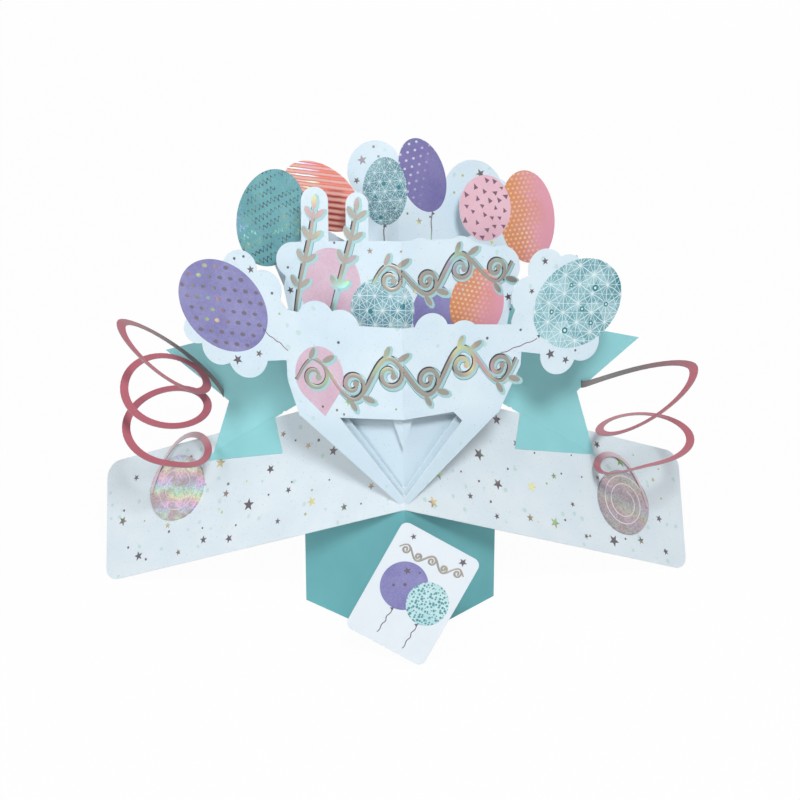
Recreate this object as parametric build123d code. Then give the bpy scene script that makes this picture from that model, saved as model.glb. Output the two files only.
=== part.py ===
# Pop up card standing open: a teal V stand, two star-paper wings that slope to the table,
# four fanned paper layers, a teal backdrop, two spiral paper streamers and a gift tag.
# Lengths are in millimetres. X runs left to right, Y away from the viewer, Z up.
# The origin is the foot of the stand's front ridge, on the table.
from build123d import *
import os
from math import atan, cos, degrees, pi, radians, sin, sqrt, tan

# Stand
ridge_height = 60
stand_width = 55
stand_recede = 45
stand_thickness = 0.5

# Wings
spine_rise = 45
wing_depth = 53
wing_front_radius = 6
wing_back_radius = 7
wing_thickness = 0.5

# Layers, from the front to the rear: distance of the foot up the spine and lean of the fold
layer_thickness = 0.4
layer_recede = 24
front_foot = 3
front_lean = 78
middle_foot = 6.5
middle_lean = 74
balloon_foot = 10
balloon_lean = 69
rear_foot = 13.5
rear_lean = 64

# Backdrop: its glue line on each wing, as shares of the wing's length and depth
backdrop_thickness = 0.4
backdrop_lean = 76
glue_inner_along = 0.41
glue_inner_up = 1.0
glue_outer_along = 0.665
glue_outer_up = 0.80
tab_along = 0.385
tab_up = 0.69
foot_overrun = 2

# Streamers: each disc is placed by shares of the wing's length and depth, the loops' centre from the disc's.
# The loops lean by their front to back slope, first and last.
streamer_thickness = 0.3
strip_width = 3.4
strip_start_width = 1.2
disc_radius = 14
disc_thickness = 1.2
start_turn = 0.06
rise_turns = 0.7
left_disc_along = 0.745
left_disc_up = 0.63
left_radius = 16.8
left_out = 2.9
left_forward = 9
left_rise = 16.1
left_pitch = 16.7
left_tip_rise = 11.5
left_slope_first = 0.29
left_slope_last = -0.06
left_turns = 3.5
right_disc_along = 0.77
right_disc_up = 0.45
right_radius = 18.8
right_out = 7.8
right_forward = 3
right_rise = 9.8
right_pitch = 21
right_tip_rise = 10.5
right_slope_first = -0.12
right_slope_last = -0.12
right_turns = 2.5

# Gift tag
tag_width = 35
tag_length = 48
tag_radius = 3
tag_thickness = 0.5
tag_turn = -30
tag_lean = 17
tag_offset = 3

# Wing plane, found from the stand: its top edges lie level under the wings
wing_recede = degrees(atan(tan(radians(stand_recede)) * sin(radians(spine_rise))))
apex = Vector(0, 0, ridge_height)
far = 10 * ridge_height
spine = Vector(0, cos(radians(spine_rise)), sin(radians(spine_rise)))


def out_direction(side, lean, recede):
    """Direction along one half of a folded sheet, square to its fold."""
    back = sin(radians(recede))
    return Vector(
        side * cos(radians(recede)),
        back * sin(radians(lean)),
        -back * cos(radians(lean)),
    )


def half_plane(side, origin, lean, recede):
    """Plane of one half: X runs to the right on both halves, Y up the fold, Z to the viewer."""
    fold = Vector(0, cos(radians(lean)), sin(radians(lean)))
    right = out_direction(side, lean, recede) * side
    return Plane(origin=origin, x_dir=right, z_dir=right.cross(fold))


def side_block(side):
    """Everything on one side of the fold."""
    return Pos(side * far / 2, 0, 0) * Box(far, 2 * far, 2 * far)


def half_of(flat, side):
    """The part of a flat outline on one side of its fold line."""
    return flat & (Pos(side * far / 2, 0) * Rectangle(far, 2 * far))


def folded_sheet(flat, origin, lean, recede, thickness):
    """One sheet cut flat, folded once on the line x = 0, both halves set back from the fold."""
    sheet = None
    for side in (-1, 1):
        face = half_plane(side, origin, lean, recede) * half_of(flat, side)
        panel = extrude(face, amount=-thickness) & side_block(side)
        sheet = panel if sheet is None else sheet + panel
    return sheet


def wing_plane(side):
    return half_plane(side, apex, spine_rise, wing_recede)


# The rounded front corner of each wing just reaches the table.
slope_out = sin(radians(wing_recede)) * cos(radians(spine_rise))
slope_up = sin(radians(spine_rise))
steepest = sqrt(slope_out**2 + slope_up**2)
level_part = cos(radians(wing_recede)) * cos(radians(spine_rise))
corner_height = ridge_height + wing_front_radius * (slope_up - steepest) - wing_thickness * level_part
wing_length = wing_front_radius + corner_height / slope_out


def wing_height(x, y):
    """Height of the wings' top faces above a point on the table."""
    slope = tan(radians(spine_rise))
    return ridge_height + y * slope - abs(x) * tan(radians(stand_recede)) * slope


def wing_point(side, along, up):
    """Point on a wing's top face, from shares of its length and depth."""
    out = out_direction(side, spine_rise, wing_recede)
    return apex + out * (along * wing_length) + spine * (up * wing_depth)


def under_wings():
    """Everything below the wings' top faces, used to trim what stands on them."""
    blocks = None
    for side in (-1, 1):
        block = extrude(wing_plane(side) * Rectangle(far, far), amount=-far) & side_block(side)
        blocks = block if blocks is None else blocks + block
    return blocks


def ball(x, y, across, high, turn=0):
    """Balloon outline: an oval, turned."""
    return Pos(x, y) * Rot(0, 0, turn) * Ellipse(across / 2, high / 2)


def bump(x, y, radius):
    return Pos(x, y) * Circle(radius)


def field(*points):
    """Straight-edged outline, its points in anticlockwise order."""
    return Polygon(*points, align=None)


def feet(left, right, top):
    """Pointed lower part that stands a layer on the wings, either side of the spine."""
    return field((0, -2.5), (right, top), (-left, top))


# Stand: both panels run up past the wings and are trimmed to their undersides.
stand_flat = Rectangle(2 * stand_width, 2 * ridge_height, align=(Align.CENTER, Align.MIN))
base_stand = folded_sheet(stand_flat, (0, 0, 0), 90, stand_recede, stand_thickness)
for side in (-1, 1):
    underside = wing_plane(side).offset(-wing_thickness)
    above = extrude(underside * Rectangle(far, far), amount=far) & side_block(side)
    base_stand = base_stand - above

# Wings: one sheet folded along the spine, with rounded outer corners.
wing_flat = Pos(0, wing_depth / 2) * Rectangle(2 * wing_length, wing_depth)
front_corners = wing_flat.vertices().group_by(Axis.Y)[0]
wing_flat = fillet(front_corners, wing_front_radius)
back_corners = wing_flat.vertices().group_by(Axis.Y)[-1]
wing_flat = fillet(back_corners, wing_back_radius)
starry_wings = folded_sheet(wing_flat, apex, spine_rise, wing_recede, wing_thickness)

# The layers' and the backdrop's outlines are drawn for a 60 mm ridge and grow with it.
outline_scale = ridge_height / 60

# Front layer: a low panel on two legs, with a cloud and a balloon at each end.
front_flat = field(
    (-44, 31.5), (42, 31.5), (52, 50), (53, 66), (20, 69), (-20, 69), (-50, 74), (-49, 46)
)
front_flat += feet(44, 42, 32)
front_flat -= field((0, 1.2), (26, 30), (22, 34), (0, 33), (-27, 32))
front_flat += bump(-36.5, 70, 8) + bump(-26, 67, 8) + bump(12.5, 66.5, 7.5) + bump(26.5, 62.5, 7.5)
front_flat += field((-46, 54), (-46, 70), (-52, 78), (-68, 86), (-76, 66), (-66, 52))
front_flat += bump(-69, 89, 7.5) + bump(-59, 81, 8) + bump(-66, 54, 8.5) + bump(-78, 58, 8) + bump(-88, 64, 6)
front_flat += ball(-76.5, 74, 42, 33, -38)
front_flat += field((48, 56), (69, 52), (78, 66), (70, 86), (54, 82), (48, 68))
front_flat += bump(63.5, 87.5, 8) + bump(73.5, 85.5, 7) + bump(56, 77, 8)
front_flat += bump(69, 52.5, 8) + bump(80, 57, 8)
front_flat += ball(78, 72.5, 42, 34, 25)

# Middle layer: a tall panel with two rounded prongs on the left, and a beak at the fold between its legs.
middle_flat = feet(38, 38, 32)
middle_flat += field(
    (-38, 31), (38, 31), (46, 62), (50, 80), (45, 94), (26, 99), (-14, 99), (-46, 98), (-50, 80), (-46, 62)
)
middle_flat -= field((0, 1.2), (24, 30), (4.6, 30), (0, 17.5), (-4.6, 30), (-24, 30))
middle_flat += bump(44, 87, 8.5) + bump(26, 92, 8) + bump(8, 92, 8) + bump(-46, 91, 7)
middle_flat += field((-23, 96), (-13.5, 96), (-13.5, 113), (-23, 113)) + bump(-18.2, 113, 4.75)
middle_flat += field((-42, 94), (-30.5, 94), (-30.5, 114), (-42, 114)) + bump(-36.2, 114, 5.75)

# Balloon layer: two balloons each side of a lower middle.
balloon_flat = feet(36, 36, 34)
balloon_flat += field(
    (-36, 33), (36, 33), (46, 70), (54, 92), (42, 104), (22, 92), (-16, 92), (-40, 106), (-56, 92), (-46, 70)
)
balloon_flat += ball(-55, 106, 30, 39, -14) + ball(-33, 114, 37, 23, -35)
balloon_flat += ball(38, 108.5, 23, 26) + ball(57, 105, 25, 37, 6)

# Rear layer: two cloud bumps and two balloons at the top.
rear_flat = feet(34, 34, 36)
rear_flat += field((-34, 35), (34, 35), (40, 80), (46, 110), (24, 112), (-18, 112), (-26, 80))
rear_flat += bump(-10, 122, 11.5) + ball(-5.5, 113, 19, 27) + ball(11, 119.5, 20, 30, 18)
rear_flat += bump(34, 113, 13.5) + bump(43, 112, 8)

trim = under_wings()


def layer(flat, foot, lean):
    """A folded layer that stands on the wings, its fold rising from the spine."""
    flat = scale(flat, outline_scale)
    return folded_sheet(flat, apex + spine * foot, lean, layer_recede, layer_thickness) - trim


front_panel = layer(front_flat, front_foot, front_lean)
middle_panel = layer(middle_flat, middle_foot, middle_lean)
balloon_panel = layer(balloon_flat, balloon_foot, balloon_lean)
rear_panel = layer(rear_flat, rear_foot, rear_lean)

# Backdrop: its plane passes through the glue line on each wing.
glue_inner = wing_point(1, glue_inner_along, glue_inner_up)
glue_outer = wing_point(1, glue_outer_along, glue_outer_up)
glue_run = glue_outer - glue_inner
set_back = glue_run.Y * sin(radians(backdrop_lean)) - glue_run.Z * cos(radians(backdrop_lean))
backdrop_recede = degrees(atan(set_back / glue_run.X))
backdrop_origin = glue_inner - glue_run * (glue_inner.X / glue_run.X)

backdrop_flat = field(
    (51, -30), (54, -35), (91.5, -57), (82, -26), (112, -5.5), (95, -1.5), (82, 31), (50, 12), (0, 18),
    (-50, 12), (-72, 22), (-82, -1), (-104, -7), (-75.5, -27), (-85, -55), (-54, -35), (-51, -30),
)
backdrop_flat = scale(backdrop_flat, outline_scale)

# Its feet run a little past the glue lines and are trimmed to the wings, whatever the size of the wings.
right_half = half_plane(1, backdrop_origin, backdrop_lean, backdrop_recede)
line_start = right_half.to_local_coords(glue_inner)
line_end = right_half.to_local_coords(glue_outer)
for side, share, knee in ((1, 1.0, (78, -30)), (-1, 0.83, (72, -28))):
    toe = line_start + (line_end - line_start) * share
    foot = field(
        (60 * outline_scale, -20 * outline_scale),
        (line_start.X, line_start.Y - foot_overrun),
        (toe.X, toe.Y - foot_overrun),
        (knee[0] * outline_scale, knee[1] * outline_scale),
    )
    if side < 0:
        foot = mirror(foot, about=Plane.YZ)
    backdrop_flat += foot
teal_backdrop = folded_sheet(
    backdrop_flat, backdrop_origin, backdrop_lean, backdrop_recede, backdrop_thickness
)
teal_backdrop = teal_backdrop - trim
for side in (-1, 1):
    tab = field(
        (tab_along * wing_length, tab_up * wing_depth),
        (glue_outer_along * wing_length, glue_outer_up * wing_depth),
        (glue_outer_along * wing_length, glue_outer_up * wing_depth + backdrop_thickness),
        (glue_inner_along * wing_length, glue_inner_up * wing_depth + backdrop_thickness),
    )
    if side < 0:
        tab = mirror(tab, about=Plane.YZ)
    tab = extrude(wing_plane(side) * tab, amount=backdrop_thickness, dir=wing_plane(side).z_dir)
    teal_backdrop = teal_backdrop + tab


# Streamers: a disc on the wing, cut in a spiral whose outer turns are pulled up to the backdrop.
def eased(value):
    """0 to 1 with a soft start and end."""
    value = min(max(value, 0), 1)
    return value * value * (3 - 2 * value)


def backdrop_plane(side):
    return half_plane(side, backdrop_origin, backdrop_lean, backdrop_recede)


def streamer(side, disc_at, radius, out, forward, rise, pitch, tip_rise, slopes, turns, glued_at):
    """A disc and its strip: the strip starts on the disc and ends on the backdrop."""
    disc_centre = wing_point(side, *disc_at)
    disc_plane = Plane(disc_centre, z_dir=wing_plane(side).z_dir)
    disc = extrude(disc_plane * Circle(disc_radius), amount=disc_thickness)
    disc_height = disc_thickness / wing_plane(side).z_dir.Z
    start_radius = disc_radius - strip_width / 2
    glue_spot = backdrop_plane(side).from_local_coords((*glued_at, -strip_width / 2))

    def edge_point(turn, reach):
        """Point on the strip after some turns, reach running across it in millimetres."""
        angle = 2 * pi * turn
        lifted = eased((turn - start_turn) / rise_turns)
        tilt = eased((turn - turns + 1.7) / 1.2)
        slope = slopes[0] + (slopes[1] - slopes[0]) * tilt
        away = start_radius + (radius - start_radius) * lifted + reach
        loop_x = disc_centre.X + side * out
        x = disc_centre.X + side * (out * lifted + away * cos(angle))
        y = disc_centre.Y - forward * lifted + away * sin(angle)
        on_disc = wing_height(x, y) + disc_height
        in_loop = disc_centre.Z + rise + pitch * turn + tilt * tip_rise * side * (x - loop_x) / radius
        in_loop += slope * (y - disc_centre.Y + forward)
        return Vector(x, y, on_disc + (in_loop - on_disc) * lifted)

    def path_point(turn):
        """Middle of the strip, drawn in to the glue spot over its last part."""
        drawn_in = eased((turn - turns + 0.5) / 0.5)
        return edge_point(turn, 0) * (1 - drawn_in) + glue_spot * drawn_in

    sections = []
    steps = int((turns - start_turn) * 16)
    for step in range(steps + 1):
        turn = start_turn + (turns - start_turn) * step / steps
        ahead = (path_point(turn + 0.01) - path_point(turn - 0.01)).normalized()
        across = edge_point(turn, 0.5) - edge_point(turn, -0.5)
        across = (across - ahead * across.dot(ahead)).normalized()
        width = strip_start_width + (strip_width - strip_start_width) * eased((turn - 0.2) / 0.4)
        section = Plane(path_point(turn), x_dir=across, z_dir=ahead)
        sections.append(section * Rectangle(width, streamer_thickness))
    strip = loft(sections, ruled=True) - trim
    end_block = Pos(*glued_at) * Rectangle(5 * strip_width, 5 * strip_width)
    strip = strip - extrude(backdrop_plane(side) * end_block, amount=-2 * strip_width)
    return disc + strip


left_glue = (-78 * outline_scale, -24 * outline_scale)
right_glue = (84 * outline_scale, -23 * outline_scale)
left_streamer = streamer(
    -1, (left_disc_along, left_disc_up), left_radius, left_out, left_forward, left_rise, left_pitch,
    left_tip_rise, (left_slope_first, left_slope_last), left_turns, left_glue,
)
right_streamer = streamer(
    1, (right_disc_along, right_disc_up), right_radius, right_out, right_forward, right_rise, right_pitch,
    right_tip_rise, (right_slope_first, right_slope_last), right_turns, right_glue,
)

# Gift tag: leans on the ridge with its lower corner on the table.
tag_flat = Rot(0, 0, tag_turn) * RectangleRounded(tag_width, tag_length, tag_radius)
tag_box = tag_flat.bounding_box()
tag_forward = tag_box.size.Y / 2 * sin(radians(tag_lean))
tag_plane = Plane(
    origin=(tag_offset, -tag_forward, -tag_box.min.Y * cos(radians(tag_lean))),
    x_dir=(1, 0, 0),
    z_dir=(0, -cos(radians(tag_lean)), sin(radians(tag_lean))),
)
gift_tag = extrude(tag_plane * tag_flat, amount=tag_thickness)

nodes = {
    "base_stand": base_stand,
    "starry_wings": starry_wings,
    "front_panel": front_panel,
    "middle_panel": middle_panel,
    "balloon_panel": balloon_panel,
    "rear_panel": rear_panel,
    "teal_backdrop": teal_backdrop,
    "left_streamer": left_streamer,
    "right_streamer": right_streamer,
    "gift_tag": gift_tag,
}
os.makedirs("parts", exist_ok=True)
for name, shape in nodes.items():
    export_step(shape.solid(), f"parts/{name}.step")
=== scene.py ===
# Pop up card: printed papers, foil work, balloons, streamers and tag, dressed round the CAD frame.
# Metres in the scene; the sheets' own layouts are written in millimetres.
import math
import random

import bpy
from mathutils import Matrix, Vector


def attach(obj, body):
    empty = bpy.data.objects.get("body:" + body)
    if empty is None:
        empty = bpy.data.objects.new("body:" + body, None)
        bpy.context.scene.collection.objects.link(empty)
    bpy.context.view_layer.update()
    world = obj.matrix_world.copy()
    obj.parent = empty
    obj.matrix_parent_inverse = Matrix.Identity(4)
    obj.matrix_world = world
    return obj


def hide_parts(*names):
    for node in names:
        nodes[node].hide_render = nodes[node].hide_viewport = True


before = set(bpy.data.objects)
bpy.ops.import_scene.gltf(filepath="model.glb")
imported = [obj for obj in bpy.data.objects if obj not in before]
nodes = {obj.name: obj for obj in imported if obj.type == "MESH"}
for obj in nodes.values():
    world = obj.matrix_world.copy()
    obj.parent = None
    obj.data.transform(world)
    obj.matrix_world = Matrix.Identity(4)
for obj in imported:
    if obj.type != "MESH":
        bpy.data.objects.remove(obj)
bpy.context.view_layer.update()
MM = 0.001

# The sheets: foot of the fold (for the tag, its middle), lean of the fold, set-back of each half.
RIDGE = 60.0
SPINE = math.sqrt(0.5)
LAYER_RECEDE = 24.0


def on_spine(foot):
    return (0.0, foot * SPINE, RIDGE + foot * SPINE)


TAG_LEAN = 17.0
TAG_TURN = -30.0
TAG_HALF = 28.436
TAG_FACE = 0.5
tag_back = math.sin(math.radians(TAG_LEAN))
tag_up = math.cos(math.radians(TAG_LEAN))
tag_middle = (3.0, -TAG_HALF * tag_back - TAG_FACE * tag_up, TAG_HALF * tag_up + TAG_FACE * tag_back)
SHEETS = {
    "stand": ((0.0, 0.0, 0.0), 90.0, 45.0),
    "wings": ((0.0, 0.0, RIDGE), 45.0, 35.2644),
    "front": (on_spine(3.0), 78.0, LAYER_RECEDE),
    "middle": (on_spine(6.5), 74.0, LAYER_RECEDE),
    "balloon": (on_spine(10.0), 69.0, LAYER_RECEDE),
    "rear": (on_spine(13.5), 64.0, LAYER_RECEDE),
    "backdrop": ((0.0, 49.5, 109.5), 76.0, 23.385),
    "tag": (tag_middle, 90.0 - TAG_LEAN, 0.0),
}


def tone(red, green, blue):
    """A colour from its 0 to 255 screen values, as the sockets take it."""
    channels = []
    for value in (red, green, blue):
        value = value / 255
        channels.append(value / 12.92 if value <= 0.04045 else ((value + 0.055) / 1.055) ** 2.4)
    return (*channels, 1.0)


def swung(x, y, turn):
    """A flat point turned about the origin by some degrees."""
    swing = math.radians(turn)
    return x * math.cos(swing) - y * math.sin(swing), x * math.sin(swing) + y * math.cos(swing)


# Node helpers
def feed(tree, socket, value):
    """Joins a socket to another one, or fills it with a constant."""
    if isinstance(value, bpy.types.NodeSocket):
        tree.links.new(value, socket)
    else:
        socket.default_value = value


def put(tree, kind, inputs=None, **settings):
    """Adds a shader node, sets it and joins or fills its inputs."""
    node = tree.nodes.new("ShaderNode" + kind)
    for key, value in settings.items():
        setattr(node, key, value)
    for socket, value in (inputs or {}).items():
        feed(tree, node.inputs[socket], value)
    return node


def calc(tree, operation, first, second=0.0, third=0.0):
    node = put(tree, "Math", {0: first, 1: second, 2: third}, operation=operation)
    return node.outputs[0]


def times(tree, first, second):
    return calc(tree, "MULTIPLY", first, second)


def minus(tree, first, second):
    return calc(tree, "SUBTRACT", first, second)


def vector_calc(tree, operation, first, second=(0.0, 0.0, 0.0)):
    node = put(tree, "VectorMath", {0: first, 1: second}, operation=operation)
    return node.outputs["Value"] if operation in ("DOT_PRODUCT", "LENGTH") else node.outputs["Vector"]


def blend_colour(tree, factor, first, second, how="MIX"):
    node = put(tree, "Mix", {0: factor, 6: first, 7: second}, data_type="RGBA", blend_type=how)
    return node.outputs[2]


def step_up(tree, value, low, high):
    """0 below low, 1 above high."""
    node = put(tree, "MapRange", {"Value": value, "From Min": low, "From Max": high})
    return node.outputs["Result"]


def split(tree, vector):
    return put(tree, "SeparateXYZ", {0: vector}).outputs


def join(tree, x, y, z=0.0):
    return put(tree, "CombineXYZ", {0: x, 1: y, 2: z}).outputs[0]


def noise(tree, point, scale, detail, **more):
    """Soft noise from 0 to 1."""
    return put(tree, "TexNoise", {"Vector": point, "Scale": scale, "Detail": detail, **more}).outputs["Fac"]


def effect(name, sockets_in, sockets_out):
    """A new shader node group with its named inputs and outputs."""
    tree = bpy.data.node_groups.new(name, "ShaderNodeTree")
    for label, kind, value in sockets_in:
        socket = tree.interface.new_socket(label, in_out="INPUT", socket_type="NodeSocket" + kind)
        socket.default_value = value
    for label, kind in sockets_out:
        tree.interface.new_socket(label, in_out="OUTPUT", socket_type="NodeSocket" + kind)
    inlet = tree.nodes.new("NodeGroupInput").outputs
    outlet = tree.nodes.new("NodeGroupOutput").inputs
    return tree, inlet, outlet


def use(tree, group, **inputs):
    node = tree.nodes.new("ShaderNodeGroup")
    node.node_tree = group
    for label, value in inputs.items():
        feed(tree, node.inputs[label.replace("_", " ")], value)
    return node.outputs


# Sheet layout: from a point in space to millimetres on the flat sheet, and which face is looked at.
def make_sheet_layout():
    tree, inlet, outlet = effect(
        "sheet layout",
        [("Point", "Vector", (0, 0, 0)), ("Facing", "Vector", (0, 0, 1)), ("Foot", "Vector", (0, 0, 0)),
         ("Fold", "Vector", (0, 0, 1)), ("Out", "Vector", (1, 0, 0)), ("Front", "Vector", (0, -1, 0))],
        [("Flat", "Vector"), ("Face", "Float")],
    )
    point = split(tree, inlet["Point"])
    side = calc(tree, "SIGN", point[0])
    half = join(tree, calc(tree, "ABSOLUTE", point[0]), point[1], point[2])
    reach = vector_calc(tree, "SUBTRACT", half, inlet["Foot"])
    along = times(tree, vector_calc(tree, "DOT_PRODUCT", reach, inlet["Out"]), 1 / MM)
    up = times(tree, vector_calc(tree, "DOT_PRODUCT", reach, inlet["Fold"]), 1 / MM)
    tree.links.new(join(tree, times(tree, along, side), up), outlet["Flat"])
    facing = split(tree, inlet["Facing"])
    turned = join(tree, times(tree, facing[0], side), facing[1], facing[2])
    tree.links.new(vector_calc(tree, "DOT_PRODUCT", turned, inlet["Front"]), outlet["Face"])
    return tree


# Card tooth: the fibres and faint clouding of uncoated card.
def make_card_tooth():
    tree, inlet, outlet = effect(
        "card tooth", [("Point", "Vector", (0, 0, 0))], [("Shade", "Float"), ("Height", "Float")]
    )
    cloud = noise(tree, inlet["Point"], 90.0, 3.0)
    fibre = noise(tree, inlet["Point"], 1900.0, 4.0, Roughness=0.65)
    mixed = calc(tree, "MULTIPLY_ADD", fibre, 0.45, times(tree, cloud, 0.55))
    tree.links.new(mixed, outlet["Shade"])
    tree.links.new(fibre, outlet["Height"])
    return tree


# Watercolour: pigment that pools and thins, with soft strokes.
def make_wash():
    tree, inlet, outlet = effect(
        "watercolour wash",
        [("Point", "Vector", (0, 0, 0)), ("Light", "Color", (1, 1, 1, 1)), ("Deep", "Color", (0, 0, 0, 1)),
         ("Lean", "Float", 0.0)],
        [("Colour", "Color")],
    )
    wide = noise(tree, inlet["Point"], 7.0, 4.0, Distortion=0.6)
    fine = noise(tree, inlet["Point"], 60.0, 4.0, Roughness=0.7)
    grain = noise(tree, inlet["Point"], 240.0, 2.0)
    pool = calc(tree, "MULTIPLY_ADD", fine, 0.5, times(tree, wide, 0.8))
    pool = calc(tree, "MULTIPLY_ADD", grain, 0.7, pool)
    tilt = times(tree, split(tree, inlet["Point"])[0], inlet["Lean"])
    pool = calc(tree, "MULTIPLY_ADD", minus(tree, pool, 1.0), 1.9, calc(tree, "ADD", tilt, 0.5))
    pool = put(tree, "Clamp", {0: pool}).outputs[0]
    tree.links.new(blend_colour(tree, pool, inlet["Light"], inlet["Deep"]), outlet["Colour"])
    return tree


# Foil shimmer: silver foil with painted rainbow glints that break into soft patches.
def make_shimmer():
    tree, inlet, outlet = effect(
        "foil shimmer",
        [("Point", "Vector", (0, 0, 0)), ("Silver", "Color", (0.5, 0.5, 0.5, 1)), ("Patch", "Float", 30.0),
         ("Rainbow", "Float", 0.5), ("Cover", "Float", 0.5), ("First hue", "Float", 0.0),
         ("Hues", "Float", 1.0)],
        [("Colour", "Color"), ("Roughness", "Float")],
    )
    patch = noise(tree, inlet["Point"], inlet["Patch"], 2.0)
    turn = times(tree, noise(tree, inlet["Point"], 22.0, 1.0, Distortion=1.5), 2.6)
    hue = calc(tree, "MULTIPLY_ADD", calc(tree, "FRACT", turn), inlet["Hues"], inlet["First hue"])
    rainbow = put(tree, "CombineColor", {0: hue, 1: 0.55, 2: 0.95}, mode="HSV").outputs[0]
    bare = minus(tree, 1.0, inlet["Cover"])
    strength = step_up(tree, minus(tree, patch, bare), 0.0, 0.15)
    strength = times(tree, strength, inlet["Rainbow"])
    tree.links.new(blend_colour(tree, strength, inlet["Silver"], rainbow), outlet["Colour"])
    tree.links.new(step_up(tree, patch, -0.6, 2.6), outlet["Roughness"])
    return tree


# Dot rows: staggered rows of round dots, as a mask.
ROW_SPACING = 0.866


def make_dot_rows():
    tree, inlet, outlet = effect(
        "dot rows",
        [("Point", "Vector", (0, 0, 0)), ("Pitch", "Float", 3.0), ("Size", "Float", 0.3)], [("Mask", "Float")]
    )
    place = split(tree, inlet["Point"])
    column = calc(tree, "DIVIDE", place[0], inlet["Pitch"])
    row = calc(tree, "DIVIDE", place[1], times(tree, inlet["Pitch"], ROW_SPACING))
    shift = times(tree, calc(tree, "FLOORED_MODULO", calc(tree, "FLOOR", row), 2.0), 0.5)
    across = minus(tree, calc(tree, "FRACT", calc(tree, "ADD", column, shift)), 0.5)
    upward = minus(tree, calc(tree, "FRACT", row), 0.5)
    away = vector_calc(tree, "LENGTH", join(tree, across, upward))
    edge = minus(tree, inlet["Size"], away)
    tree.links.new(step_up(tree, edge, -0.03, 0.03), outlet["Mask"])
    return tree


# Line lattice: six sets of fine lines that meet in twelve-spoked crossings, over patches of deeper ink.
def make_lattice():
    tree, inlet, outlet = effect(
        "line lattice",
        [("Point", "Vector", (0, 0, 0)), ("Pitch", "Float", 6.0), ("Line", "Float", 0.3)],
        [("Lines", "Float"), ("Shade", "Float")],
    )
    drift = put(tree, "TexNoise", {"Vector": inlet["Point"], "Scale": 0.22, "Detail": 1.0})
    wander = vector_calc(tree, "SUBTRACT", drift.outputs["Color"], (0.5, 0.5, 0.5))
    shaken = {0: wander, 1: (1.2, 1.2, 0.0), 2: inlet["Point"]}
    point = put(tree, "VectorMath", shaken, operation="MULTIPLY_ADD").outputs["Vector"]
    nearest = None
    for angle in range(0, 180, 30):
        closeness = math.sin(math.radians(60 if angle % 60 == 0 else 30))
        spacing = times(tree, inlet["Pitch"], closeness)
        across = (-math.sin(math.radians(angle)), math.cos(math.radians(angle)), 0.0)
        distance = vector_calc(tree, "DOT_PRODUCT", point, across)
        distance = calc(tree, "PINGPONG", distance, times(tree, spacing, 0.5))
        if angle % 60:
            distance = times(tree, distance, 1.6)
        nearest = distance if nearest is None else calc(tree, "MINIMUM", nearest, distance)
    tree.links.new(step_up(tree, minus(tree, inlet["Line"], nearest), -0.1, 0.06), outlet["Lines"])
    cells = put(tree, "TexVoronoi", {"Vector": point, "Scale": 0.2})
    tree.links.new(split(tree, cells.outputs["Color"])[0], outlet["Shade"])
    return tree


sheet_layout = make_sheet_layout()
card_tooth = make_card_tooth()
wash = make_wash()
shimmer = make_shimmer()
dot_rows = make_dot_rows()
lattice = make_lattice()


# Materials
def new_finish(name, roughness, metal=0.0):
    finish = bpy.data.materials.new(name)
    finish.use_nodes = True
    tree = finish.node_tree
    surface = tree.nodes["Principled BSDF"]
    surface.inputs["Roughness"].default_value = roughness
    surface.inputs["Metallic"].default_value = metal
    return finish, tree, surface


def object_point(tree):
    return put(tree, "TexCoord").outputs["Object"]


def sheet_directions(sheet):
    """Foot, fold, outward and facing directions of a sheet's right half, in metres."""
    foot, lean, recede = SHEETS[sheet]
    rise, set_back = math.radians(lean), math.radians(recede)
    fold = (0.0, math.cos(rise), math.sin(rise))
    out = (math.cos(set_back), math.sin(set_back) * math.sin(rise), -math.sin(set_back) * math.cos(rise))
    front = (math.sin(set_back), -math.cos(set_back) * math.sin(rise), math.cos(set_back) * math.cos(rise))
    return tuple(value * MM for value in foot), fold, out, front


def laid_out(tree, sheet):
    foot, fold, out, front = sheet_directions(sheet)
    facing = put(tree, "NewGeometry").outputs["True Normal"]
    point = object_point(tree)
    return use(tree, sheet_layout, Point=point, Facing=facing, Foot=foot, Fold=fold, Out=out, Front=front)


TOOTH_SHADE = (0.86, 0.88, 0.9, 1.0)
TOOTH_RELIEF = 0.06 * MM


def add_tooth(tree, surface, colour, depth=0.12, strength=0.25):
    """Card fibre in the colour and the relief."""
    tooth = use(tree, card_tooth, Point=object_point(tree))
    darker = blend_colour(tree, 1.0, colour, TOOTH_SHADE, "MULTIPLY")
    shade = times(tree, step_up(tree, tooth["Shade"], 0.35, 0.7), depth * 4)
    tree.links.new(blend_colour(tree, shade, colour, darker), surface.inputs["Base Color"])
    bump = put(tree, "Bump", {"Height": tooth["Height"], "Strength": strength, "Distance": TOOTH_RELIEF})
    tree.links.new(bump.outputs[0], surface.inputs["Normal"])


def cut_edges(tree, colour, face, edge):
    """The paler core shows on the cut edges."""
    on_edge = minus(tree, 1.0, step_up(tree, calc(tree, "ABSOLUTE", face), 0.3, 0.6))
    return blend_colour(tree, on_edge, colour, edge)


def make_plain_card(name, sheet, colour, deep):
    finish, tree, surface = new_finish(name, 0.62)
    place = laid_out(tree, sheet)
    broad = noise(tree, place["Flat"], 0.035, 2.0)
    body = blend_colour(tree, step_up(tree, broad, 0.3, 0.75), colour, deep)
    add_tooth(tree, surface, cut_edges(tree, body, place["Face"], tone(206, 226, 226)))
    return finish


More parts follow.
